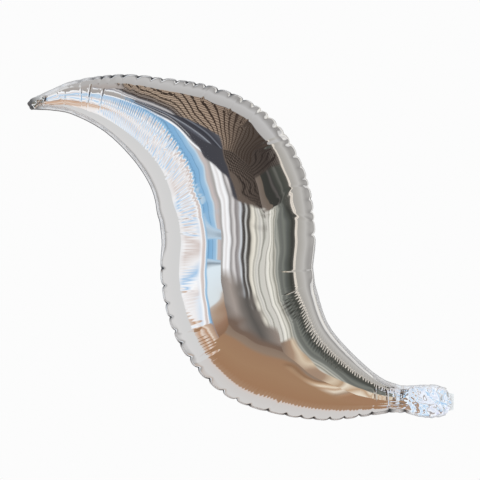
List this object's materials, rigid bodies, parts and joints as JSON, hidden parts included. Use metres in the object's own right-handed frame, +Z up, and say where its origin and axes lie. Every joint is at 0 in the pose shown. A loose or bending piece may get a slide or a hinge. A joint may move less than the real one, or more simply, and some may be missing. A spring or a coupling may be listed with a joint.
{
  "type": "mermaid tail balloon",
  "caption": "Inflated S-curved foil tail balloon: a front and a back panel sealed along a puckered margin, running from a pointed tip to a gathered neck with clear valve films in its mouth.",
  "frame": {"origin": "the waist of the neck, on the seam plane, where a ribbon is tied", "axes": "+Y runs through the thickness from the front panel to the back panel; +X points from the tail towards the neck's mouth; +Z is up as the tail hangs in the picture"},
  "size_m": [0.7224, 0.2046, 0.5886],
  "materials": {
    "mirror_foil": "mirror-bright metallised film",
    "welded_foil": "heat-sealed metallised film, puckered",
    "neck_foil": "crumpled metallised film",
    "valve_film": "clear film"
  },
  "bodies": {
    "root": {"front_panel": "mirror_foil", "back_panel": "mirror_foil", "seam_margin": "welded_foil", "neck_front_ply": "neck_foil", "neck_back_ply": "neck_foil", "valve_film_front": "valve_film", "valve_film_back": "valve_film"}
  },
  "joints": []
}
